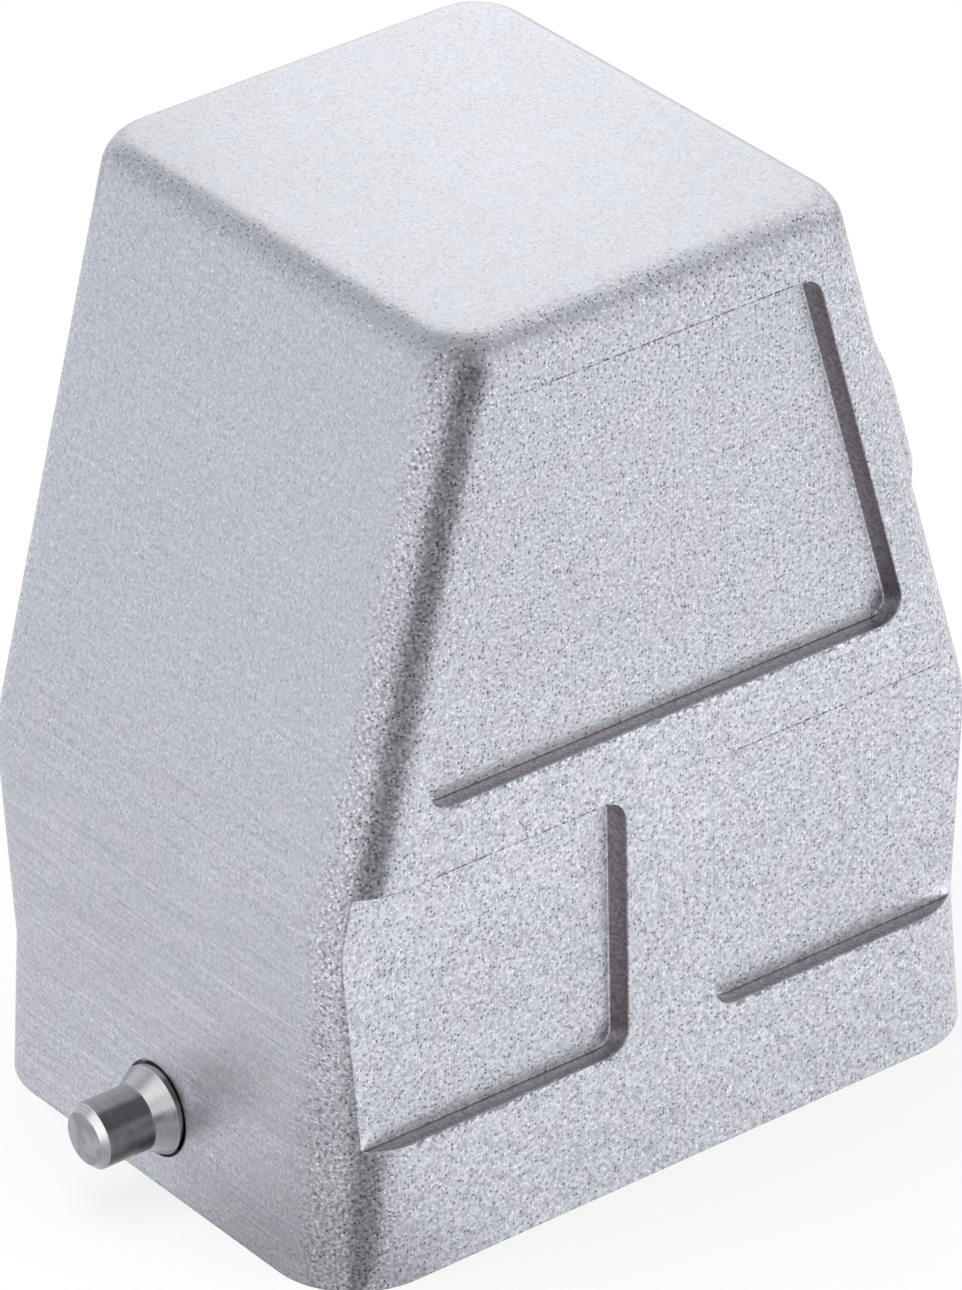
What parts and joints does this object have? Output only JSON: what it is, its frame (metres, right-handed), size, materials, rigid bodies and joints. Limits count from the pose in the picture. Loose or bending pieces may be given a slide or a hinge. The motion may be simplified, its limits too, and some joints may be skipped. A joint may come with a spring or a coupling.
{
  "type": "heavy-duty connector hood",
  "caption": "Die-cast hood for a heavy-duty rectangular connector, sloping end walls, side cable entry, recess panels and steel locking pegs.",
  "frame": {"origin": "centre of the open rim, on the mating face", "axes": "+Z from the rim to the roof, +X along the hood towards the end wall with the cable entry, +Y across the hood"},
  "size_m": [0.0716, 0.0434, 0.072],
  "materials": {
    "casting": "bare die-cast aluminium, blasted to a fine sparkling grain, end walls lightly brushed",
    "peg_steel": "turned steel with fine turning marks and bright chamfers"
  },
  "bodies": {
    "root": {"hood_casting": "casting", "locking_peg_left": "peg_steel", "locking_peg_right": "peg_steel"}
  },
  "joints": []
}
